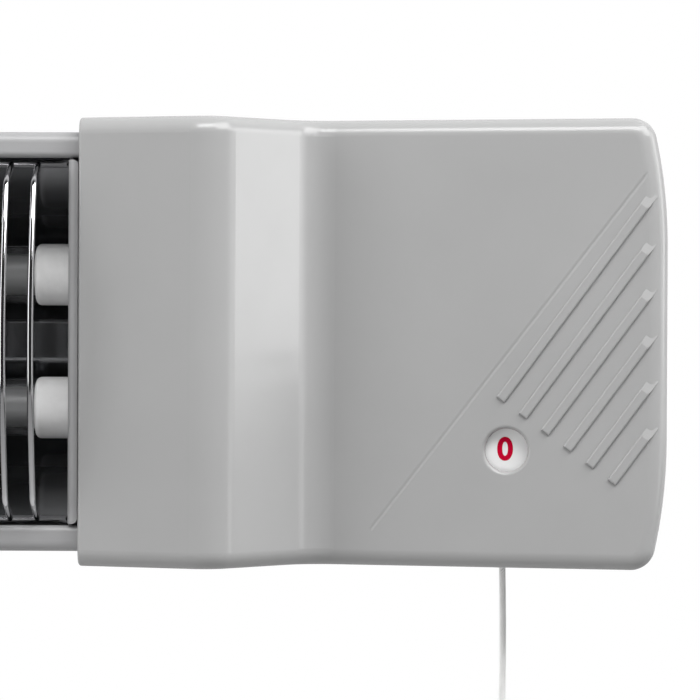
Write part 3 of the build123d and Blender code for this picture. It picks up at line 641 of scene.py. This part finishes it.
def make_camera(settings):
    """The camera, square to the heater's front at its right-hand end, with the photograph's slight lean."""
    to_the_right, up = 0.25458, 0.005
    pan, tip, lean = -0.00131, -0.0076, 0.0045
    data = bpy.data.cameras.new("camera")
    data.lens = settings.lens
    data.sensor_width = 36.0
    camera = bpy.data.objects.new("camera", data)
    bpy.context.scene.collection.objects.link(camera)
    camera.location = (to_the_right, -settings.distance, up)
    turn = Matrix.Rotation(pan, 3, "Z") @ Matrix.Rotation(math.radians(90) + tip, 3, "X")
    camera.rotation_euler = (turn @ Matrix.Rotation(lean, 3, "Z")).to_euler()
    bpy.context.scene.camera = camera


class HEATER_OT_cord(bpy.types.Operator):
    """Make the pull cord"""

    bl_idname = "heater.cord"
    bl_label = "Pull cord"

    def execute(self, context):
        sizes = context.scene.heater_sizes
        line = cord_line()
        cord = laid_cord("cord_laid", line, sizes)
        settle(cord, "cord", "cord_braid", ["pull_cord"])
        keep("cord_inner", "cord_pendant")
        return {"FINISHED"}


CORD_RADIUS = 1.0 * MM


def cord_line():
    """Centre line of the hanging cord, read from a smooth spline through its route.

    The sway is the cord's distance to the right of its exit and its height below it, in millimetres.
    """
    exit_x, exit_depth, exit_z = 300.154, 50.4, -63.1
    sway = [(0, 0), (0.5, -25), (-0.2, -55), (-0.6, -85), (-0.3, -111.5)]
    curve = bpy.data.curves.new("cord_route", "CURVE")
    curve.dimensions = "3D"
    curve.resolution_u = 24
    spline = curve.splines.new("NURBS")
    spline.points.add(len(sway) - 1)
    for point, (x, z) in zip(spline.points, sway):
        point.co = ((exit_x + x) * MM, -exit_depth * MM, (exit_z + z) * MM, 1.0)
    spline.order_u = 3
    spline.use_endpoint_u = True
    route = link("cord_route", curve)
    mesh = bpy.data.meshes.new_from_object(route)
    line = [vertex.co.copy() for vertex in mesh.vertices]
    bpy.data.meshes.remove(mesh)
    bpy.data.objects.remove(route)
    return line


def resample(line, step):
    """Points along a line at an even step."""
    total = sum((b - a).length for a, b in zip(line, line[1:]))
    count = max(2, round(total / step))
    points, run, k = [], 0.0, 0
    for i in range(count + 1):
        want = total * i / count
        while k < len(line) - 2 and run + (line[k + 1] - line[k]).length < want:
            run += (line[k + 1] - line[k]).length
            k += 1
        piece = line[k + 1] - line[k]
        points.append(line[k] + piece * min(1.0, (want - run) / piece.length))
    return points, total / count


def laid_cord(name, line, sizes):
    """Strands that all wind the same way round a line, over a core that fills the middle."""
    strand_sides, core_sides, rings_a_turn = 6, 12, 16
    points, step = resample(line, sizes.strand_lead / rings_a_turn)
    centre_radius = CORD_RADIUS - sizes.strand_radius
    work = bmesh.new()
    layer = work.loops.layers.uv.new("yarn")
    for strand in range(sizes.strands):
        start = 2 * math.pi * strand / sizes.strands
        path, outward = [], []
        for i, point in enumerate(points):
            angle = start - 2 * math.pi * i * step / sizes.strand_lead
            outward.append(Vector((math.cos(angle), math.sin(angle), 0)))
            path.append(point + centre_radius * outward[-1])
        sweep(work, layer, path, sizes.strand_radius, strand_sides, outward)
    # The core's mask is 0 all over, so the whole core is painted shade for the gaps between the strands.
    sweep(work, layer, points, sizes.core_radius, core_sides)
    mesh = bpy.data.meshes.new(name)
    work.to_mesh(mesh)
    work.free()
    smooth(mesh)
    return link(name, mesh)


def sweep(work, layer, path, radius, sides, outward=None):
    """A round bar along a path, with closed ends.

    Its UV runs along it; its V is the mask of the painted shade between strands, and goes up to 1 on the
    side that faces outward.
    """
    uv_a_ring = 0.2
    rings, side = [], Vector((1, 0, 0))
    turns = [2 * math.pi * k / sides for k in range(sides)]
    # 1 on the outward side, 0 on the inward side where the painted shade between the strands is darkest.
    groove_shade_mask = [(1 + math.cos(turn)) / 2 if outward else 0.0 for turn in turns]
    for i, point in enumerate(path):
        ahead = (path[min(i + 1, len(path) - 1)] - path[max(i - 1, 0)]).normalized()
        if outward:
            side = outward[i]
        side = (side - ahead * side.dot(ahead)).normalized()
        up = ahead.cross(side)
        ways = [math.cos(turn) * side + math.sin(turn) * up for turn in turns]
        rings.append([work.verts.new(point + radius * way) for way in ways])
    for i, (lower, upper) in enumerate(zip(rings, rings[1:])):
        for k in range(sides):
            m = (k + 1) % sides
            face = work.faces.new((lower[k], lower[m], upper[m], upper[k]))
            for loop, u, v in zip(face.loops, (i, i, i + 1, i + 1), (k, m, m, k)):
                loop[layer].uv = (u * uv_a_ring, groove_shade_mask[v])
    work.faces.new(list(reversed(rings[0])))
    work.faces.new(rings[-1])


class HEATER_OT_casing(bpy.types.Operator):
    """Finish the moulded casing and its back covers"""

    bl_idname = "heater.casing"
    bl_label = "Casing"

    def execute(self, context):
        keep("control_housing", "left_end_cap", "control_back_cover", "left_back_cover")
        keep("cord_eyelet", "lead_bush")
        return {"FINISHED"}


class HEATER_OT_trough(bpy.types.Operator):
    """Finish the steel trough, its end plates, lugs and the reflector"""

    bl_idname = "heater.trough"
    bl_label = "Trough and reflector"

    def execute(self, context):
        keep("body_shell", "end_plate_right", "end_plate_left", "reflector")
        keep("pivot_lug_right", "pivot_lug_left")
        return {"FINISHED"}


class HEATER_OT_tubes(bpy.types.Operator):
    """Finish the quartz tubes, their caps and their terminals"""

    bl_idname = "heater.tubes"
    bl_label = "Tubes and caps"

    def execute(self, context):
        keep("quartz_tube_upper", "quartz_tube_lower", "terminal_studs", "terminal_nuts")
        for level in ("upper", "lower"):
            keep(f"ceramic_cap_{level}_right", f"ceramic_cap_{level}_left")
        return {"FINISHED"}


class HEATER_OT_coils(bpy.types.Operator):
    """Wind the two heating coils"""

    bl_idname = "heater.coils"
    bl_label = "Heating coils"

    def execute(self, context):
        sizes = context.scene.heater_sizes
        nodes = ("heating_coil_upper", "heating_coil_lower")
        boxes = [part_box(name) for name in nodes]
        low, high = boxes[0]
        values = {
            "Length": high.x - low.x,
            "Radius": (high.z - low.z) / 2 - sizes.coil_wire,
            "Wire Radius": sizes.coil_wire,
            "Pitch": sizes.coil_pitch,
            "Material": finish_of("coil_alloy"),
        }
        tree = coil_tree(values)
        starts = [(box[0].x, (box[0].y + box[1].y) / 2, (box[0].z + box[1].z) / 2) for box in boxes]
        coils = run_tree("heating_coils", tree, values, starts)
        smooth(coils.data)
        settle(coils, "heater", "coil_alloy", nodes)
        return {"FINISHED"}


def coil_tree(values):
    """A helix of wire that starts at each point and runs along X."""
    tree, inputs, output = node_tree("Coil", values)
    turns = add(tree, MATH, {0: inputs["Length"], 1: inputs["Pitch"]}, operation="DIVIDE")
    helix = add(tree, "GeometryNodeCurveSpiral", {
        "Resolution": 10, "Rotations": turns, "Height": inputs["Length"],
        "Start Radius": inputs["Radius"], "End Radius": inputs["Radius"]})
    ring = add(tree, "GeometryNodeCurvePrimitiveCircle", {"Resolution": 5, "Radius": inputs["Wire Radius"]})
    wire = add(tree, "GeometryNodeCurveToMesh", {
        "Curve": helix.outputs["Curve"], "Profile Curve": ring.outputs["Curve"], "Fill Caps": True})
    lying = add(tree, "GeometryNodeTransform", {
        "Geometry": wire.outputs["Mesh"], "Rotation": (0, math.pi / 2, 0)})
    placed = add(tree, "GeometryNodeInstanceOnPoints", {
        "Points": inputs["Geometry"], "Instance": lying.outputs["Geometry"]})
    close_tree(tree, inputs, output, placed.outputs["Instances"])
    return tree


class HEATER_OT_guard(bpy.types.Operator):
    """Make the chrome wire guard"""

    bl_idname = "heater.guard"
    bl_label = "Wire guard"

    def execute(self, context):
        sizes = context.scene.heater_sizes
        low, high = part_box("wire_guard")
        end_gap = 10.4 * MM
        values = {
            "Wires": sizes.guard_wires,
            "First Wire": low.x + end_gap,
            "Last Wire": high.x - end_gap,
            "Wire Radius": sizes.wire_radius,
            "Rail Radius": 1.1 * MM,
            "Rail Length": high.x - low.x,
            "Rail Height": 50.0 * MM,
            "Rail Depth": 76.0 * MM,
            "Bend Height": 44.3 * MM,
            "Bend Depth": 90.5 * MM,
            "Bow": 9.5 * MM,
            "Softness": 2.4 * MM,
            "Material": finish_of("guard_chrome"),
        }
        guard = run_tree("guard_wires", guard_tree(values), values)
        smooth(guard.data)
        settle(guard, "heater", "guard_chrome", ["wire_guard"])
        return {"FINISHED"}


def guard_tree(values):
    """Bowed upright wires between two rails: each wire's depth is a formula of its height."""
    tree, inputs, output = node_tree("Guard", values)
    points = 72
    line = add(tree, "GeometryNodeMeshLine", {"Count": points})
    index = add(tree, "GeometryNodeInputIndex").outputs[0]
    share = add(tree, MATH, {0: index, 1: 2 / (points - 1), 2: -1.0}, operation="MULTIPLY_ADD")
    angle = add(tree, MATH, {0: share, 1: math.pi / 2}, operation="MULTIPLY")
    spread = add(tree, MATH, {0: angle}, operation="SINE")
    height = add(tree, MATH, {0: spread, 1: inputs["Rail Height"]}, operation="MULTIPLY")
    level = add(tree, MATH, {0: height}, operation="ABSOLUTE")
    ratio = add(tree, MATH, {0: level, 1: inputs["Bend Height"]}, operation="DIVIDE")
    square = add(tree, MATH, {0: ratio, 1: ratio}, operation="MULTIPLY")
    hollow = add(tree, MATH, {0: 1.0, 1: square}, operation="SUBTRACT")
    bow = {0: inputs["Bow"], 1: hollow, 2: inputs["Bend Depth"]}
    bowed = add(tree, MATH, bow, operation="MULTIPLY_ADD")
    rise = add(tree, MATH, {0: inputs["Bend Depth"], 1: inputs["Rail Depth"]}, operation="SUBTRACT")
    run = add(tree, MATH, {0: inputs["Rail Height"], 1: inputs["Bend Height"]}, operation="SUBTRACT")
    slope = add(tree, MATH, {0: rise, 1: run}, operation="DIVIDE")
    below_rail = add(tree, MATH, {0: inputs["Rail Height"], 1: level}, operation="SUBTRACT")
    legs = {0: below_rail, 1: slope, 2: inputs["Rail Depth"]}
    leg = add(tree, MATH, legs, operation="MULTIPLY_ADD")
    depth = add(tree, MATH, {0: bowed, 1: leg, 2: inputs["Softness"]}, operation="SMOOTH_MIN")
    forward = add(tree, MATH, {0: depth, 1: -1.0}, operation="MULTIPLY")
    place = add(tree, "ShaderNodeCombineXYZ", {"Y": forward, "Z": height})
    shaped = add(tree, "GeometryNodeSetPosition", {
        "Geometry": line.outputs["Mesh"], "Position": place.outputs[0]})
    curve = add(tree, "GeometryNodeMeshToCurve", {"Mesh": shaped.outputs["Geometry"]})
    ring = add(tree, "GeometryNodeCurvePrimitiveCircle", {"Resolution": 12, "Radius": inputs["Wire Radius"]})
    wire = add(tree, "GeometryNodeCurveToMesh", {
        "Curve": curve.outputs["Curve"], "Profile Curve": ring.outputs["Curve"], "Fill Caps": True})
    first = add(tree, "ShaderNodeCombineXYZ", {"X": inputs["First Wire"]})
    last = add(tree, "ShaderNodeCombineXYZ", {"X": inputs["Last Wire"]})
    ends = {"Count": inputs["Wires"], "Start Location": first.outputs[0], "Offset": last.outputs[0]}
    row = add(tree, "GeometryNodeMeshLine", ends, mode="END_POINTS")
    wires = add(tree, "GeometryNodeInstanceOnPoints", {
        "Points": row.outputs["Mesh"], "Instance": wire.outputs["Mesh"]})
    rod = add(tree, "GeometryNodeMeshCylinder", {
        "Vertices": 16, "Radius": inputs["Rail Radius"], "Depth": inputs["Rail Length"]})
    lying = add(tree, "GeometryNodeTransform", {
        "Geometry": rod.outputs["Mesh"], "Rotation": (0, math.pi / 2, 0)})
    joined = add(tree, "GeometryNodeJoinGeometry", {"Geometry": wires.outputs["Instances"]})
    for sign in (1.0, -1.0):
        y = add(tree, MATH, {0: inputs["Rail Depth"], 1: -1.0}, operation="MULTIPLY")
        z = add(tree, MATH, {0: inputs["Rail Height"], 1: sign}, operation="MULTIPLY")
        spot = add(tree, "ShaderNodeCombineXYZ", {"Y": y, "Z": z})
        rail = add(tree, "GeometryNodeTransform", {
            "Geometry": lying.outputs["Geometry"], "Translation": spot.outputs[0]})
        tree.links.new(rail.outputs["Geometry"], joined.inputs["Geometry"])
    close_tree(tree, inputs, output, joined.outputs["Geometry"])
    return tree


DIAL_DIGITS = "012012"
DIGIT_RADIUS = 11.65 * MM
DIGIT_LIFT = 0.3 * MM
DIGIT_BOLDNESS = 0.29 * MM
INK_THICKNESS = 0.03 * MM
FONT_SIZE_PER_HEIGHT = 1.28


class HEATER_OT_dial(bpy.types.Operator):
    """Print the digits on the dial behind the window"""

    bl_idname = "heater.dial"
    bl_label = "Dial"

    def execute(self, context):
        sizes = context.scene.heater_sizes
        low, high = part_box("indicator_dial")
        centre = (low + high) / 2
        work = bmesh.new()
        for step, digit in enumerate(DIAL_DIGITS):
            turn = math.radians(360 / len(DIAL_DIGITS) * step)
            add_digit(work, digit, sizes.digit_height, centre, low.y, turn)
        mesh = bpy.data.meshes.new("dial_digits")
        work.to_mesh(mesh)
        work.free()
        digits = link("dial_digits", mesh)
        digits.data.materials.append(finish_of("dial_ink"))
        settle(digits, "dial", "dial_plastic")
        keep("indicator_dial", "ratchet_cam")
        return {"FINISHED"}


def add_digit(work, digit, height, centre, front, turn):
    """One bold digit on the dial, upright when it is turned into the window at the left."""
    curve = bpy.data.curves.new("digit", "FONT")
    curve.body = digit
    curve.align_x = "CENTER"
    curve.align_y = "CENTER"
    curve.size = height * FONT_SIZE_PER_HEIGHT
    curve.offset = DIGIT_BOLDNESS
    curve.extrude = INK_THICKNESS
    text = link("digit", curve)
    mesh = bpy.data.meshes.new_from_object(text)
    bpy.data.objects.remove(text)
    low = Vector([min(v.co[i] for v in mesh.vertices) for i in range(3)])
    high = Vector([max(v.co[i] for v in mesh.vertices) for i in range(3)])
    middle = (low + high) / 2
    place = (
        Matrix.Translation((centre.x, front - INK_THICKNESS, centre.z))
        @ Matrix.Rotation(turn, 4, "Y")
        @ Matrix.Translation((-DIGIT_RADIUS, 0, DIGIT_LIFT))
        @ Matrix.Rotation(math.radians(90), 4, "X")
        @ Matrix.Translation(-middle)
    )
    mesh.transform(place)
    work.from_mesh(mesh)
    bpy.data.meshes.remove(mesh)


class HEATER_OT_switch(bpy.types.Operator):
    """Finish the pull-cord switch and the wiring parts inside the casing"""

    bl_idname = "heater.switch"
    bl_label = "Switch"

    def execute(self, context):
        keep("switch_base", "switch_cover", "switch_screws", "pull_lever", "return_spring", "contact_blades",
             "switch_tabs", "cord_eye", "terminal_block", "terminal_screws")
        return {"FINISHED"}


class HEATER_OT_fasteners(bpy.types.Operator):
    """Make the recessed casing screws and the domed rivets"""

    bl_idname = "heater.fasteners"
    bl_label = "Screws and rivets"

    def execute(self, context):
        covers = ("control_cover_screws", "left_cover_screws")
        screws = [box for node in covers for box in islands(node)]
        make_fasteners("cover_screws", screw_blank(screws[0]), screws, True, "zinc_steel", covers)
        rivets = islands("lug_rivets")
        lugs = ("lug_rivets",)
        make_fasteners("domed_rivets", rivet_blank(rivets[0]), rivets, False, "rivet_aluminium", lugs)
        return {"FINISHED"}


def blank_object(name, profile):
    """A turned blank whose axis lies along Y with its outer end towards the wall."""
    work = lathe([(radius * MM, height * MM) for radius, height in profile])
    lie_down = Matrix.Rotation(math.radians(-90), 3, "X")
    bmesh.ops.rotate(work, verts=work.verts, cent=(0, 0, 0), matrix=lie_down)
    mesh = bpy.data.meshes.new(name)
    work.to_mesh(mesh)
    work.free()
    return link(name, mesh)


def screw_blank(box):
    """A pan-head screw, from the tip of its shank to the rounded rim of its head."""
    head, shank, head_height, point = (box[1].x - box[0].x) / 2 / MM, 1.25, 1.1, 1.2
    tip = -(box[1].y - box[0].y) / MM
    rounding = [(head, -0.5), (head - 0.15, -0.22), (head - 0.5, -0.05), (head - 1.0, 0)]
    return blank_object("screw_blank", [
        (0, tip), (0.5 * shank, tip), (shank, tip + point), (shank, -head_height), (head, -head_height),
        *rounding, (0, 0)])


def rivet_blank(box):
    """A rivet with a low dome towards the wall and an upset end inside the trough."""
    head, rise, shank, upset, upset_height, bevel = (box[1].x - box[0].x) / 2 / MM, 1.2, 2.0, 3.0, 0.9, 0.3
    end = -(box[1].y - box[0].y) / MM
    turns = [math.radians(angle) for angle in range(10, 90, 16)]
    dome = [(head * math.cos(turn), -rise + rise * math.sin(turn)) for turn in turns]
    return blank_object("rivet_blank", [
        (0, end), (upset - 0.5, end), (upset, end + bevel), (upset, end + upset_height),
        (shank, end + upset_height), (shank, -rise), (head, -rise), *dome, (0, 0)])


def make_fasteners(name, blank, boxes, recessed, slot, replaced):
    """Set a blank on the outer end of every box, with a cross recess where it is a screw."""
    values = {
        "Blank": blank,
        "Recess Length": 3.6 * MM,
        "Recess Width": 0.9 * MM,
        "Recess Depth": 0.75 * MM,
        "Material": finish_of(slot),
    }
    tree = fastener_tree(values, recessed)
    ends = [((low.x + high.x) / 2, high.y, (low.z + high.z) / 2) for low, high in boxes]
    piece = run_tree(name, tree, values, ends)
    bpy.data.objects.remove(blank)
    settle(piece, "heater", slot, replaced)


def fastener_tree(values, recessed):
    """A blank on every point, turned by chance about Y, and cut by two crossed bars where it is recessed."""
    widest_turn, seed = 3.14, 7
    tree, inputs, output = node_tree("Fasteners", values)
    shape = add(tree, "GeometryNodeObjectInfo", {"Object": inputs["Blank"]}).outputs["Geometry"]
    if recessed:
        deep = add(tree, MATH, {0: inputs["Recess Depth"], 1: 2.0}, operation="MULTIPLY")
        bars = []
        for x, z in (("Recess Length", "Recess Width"), ("Recess Width", "Recess Length")):
            size = add(tree, "ShaderNodeCombineXYZ", {"X": inputs[x], "Y": deep, "Z": inputs[z]})
            bars.append(add(tree, "GeometryNodeMeshCube", {"Size": size.outputs[0]}).outputs["Mesh"])
        cut = add(tree, "GeometryNodeMeshBoolean", {"Mesh 1": shape}, operation="DIFFERENCE", solver="EXACT")
        for bar in bars:
            tree.links.new(bar, cut.inputs["Mesh 2"])
        shape = cut.outputs["Mesh"]
    chance = add(tree, "FunctionNodeRandomValue", {"Max": widest_turn, "Seed": seed}, data_type="FLOAT")
    turn = add(tree, "ShaderNodeCombineXYZ", {"Y": chance.outputs["Value"]})
    placed = add(tree, "GeometryNodeInstanceOnPoints", {
        "Points": inputs["Geometry"], "Instance": shape, "Rotation": turn.outputs[0]})
    close_tree(tree, inputs, output, placed.outputs["Instances"])
    return tree


class HEATER_OT_bracket(bpy.types.Operator):
    """Finish the wall bracket, its pivots and knobs"""

    bl_idname = "heater.bracket"
    bl_label = "Wall bracket"

    def execute(self, context):
        keep("wall_bracket", "pivot_bolts", "pivot_washers", "clamp_knobs")
        return {"FINISHED"}


class HEATER_PT_panel(bpy.types.Panel):
    """The heater's pieces in the sidebar"""

    bl_idname = "HEATER_PT_panel"
    bl_label = "Quartz heater"
    bl_space_type = "VIEW_3D"
    bl_region_type = "UI"
    bl_category = "Heater"

    def draw(self, context):
        for group in (context.scene.heater_sizes, context.scene.heater_stage):
            for name in group.__annotations__:
                self.layout.prop(group, name)
        for piece in PIECES:
            self.layout.operator(piece.bl_idname)


PIECES = (
    HEATER_OT_stage,
    HEATER_OT_cord,
    HEATER_OT_casing,
    HEATER_OT_trough,
    HEATER_OT_tubes,
    HEATER_OT_coils,
    HEATER_OT_guard,
    HEATER_OT_dial,
    HEATER_OT_switch,
    HEATER_OT_fasteners,
    HEATER_OT_bracket,
)
CLASSES = (HeaterSizes, HeaterStage, *PIECES, HEATER_PT_panel)


def register():
    for cls in CLASSES:
        bpy.utils.register_class(cls)
    bpy.types.Scene.heater_sizes = bpy.props.PointerProperty(type=HeaterSizes)
    bpy.types.Scene.heater_stage = bpy.props.PointerProperty(type=HeaterStage)


def unregister():
    del bpy.types.Scene.heater_stage
    del bpy.types.Scene.heater_sizes
    for cls in reversed(CLASSES):
        bpy.utils.unregister_class(cls)


def main():
    register()
    for piece in PIECES:
        group, name = piece.bl_idname.split(".")
        getattr(getattr(bpy.ops, group), name)()


if __name__ == "__main__":
    main()
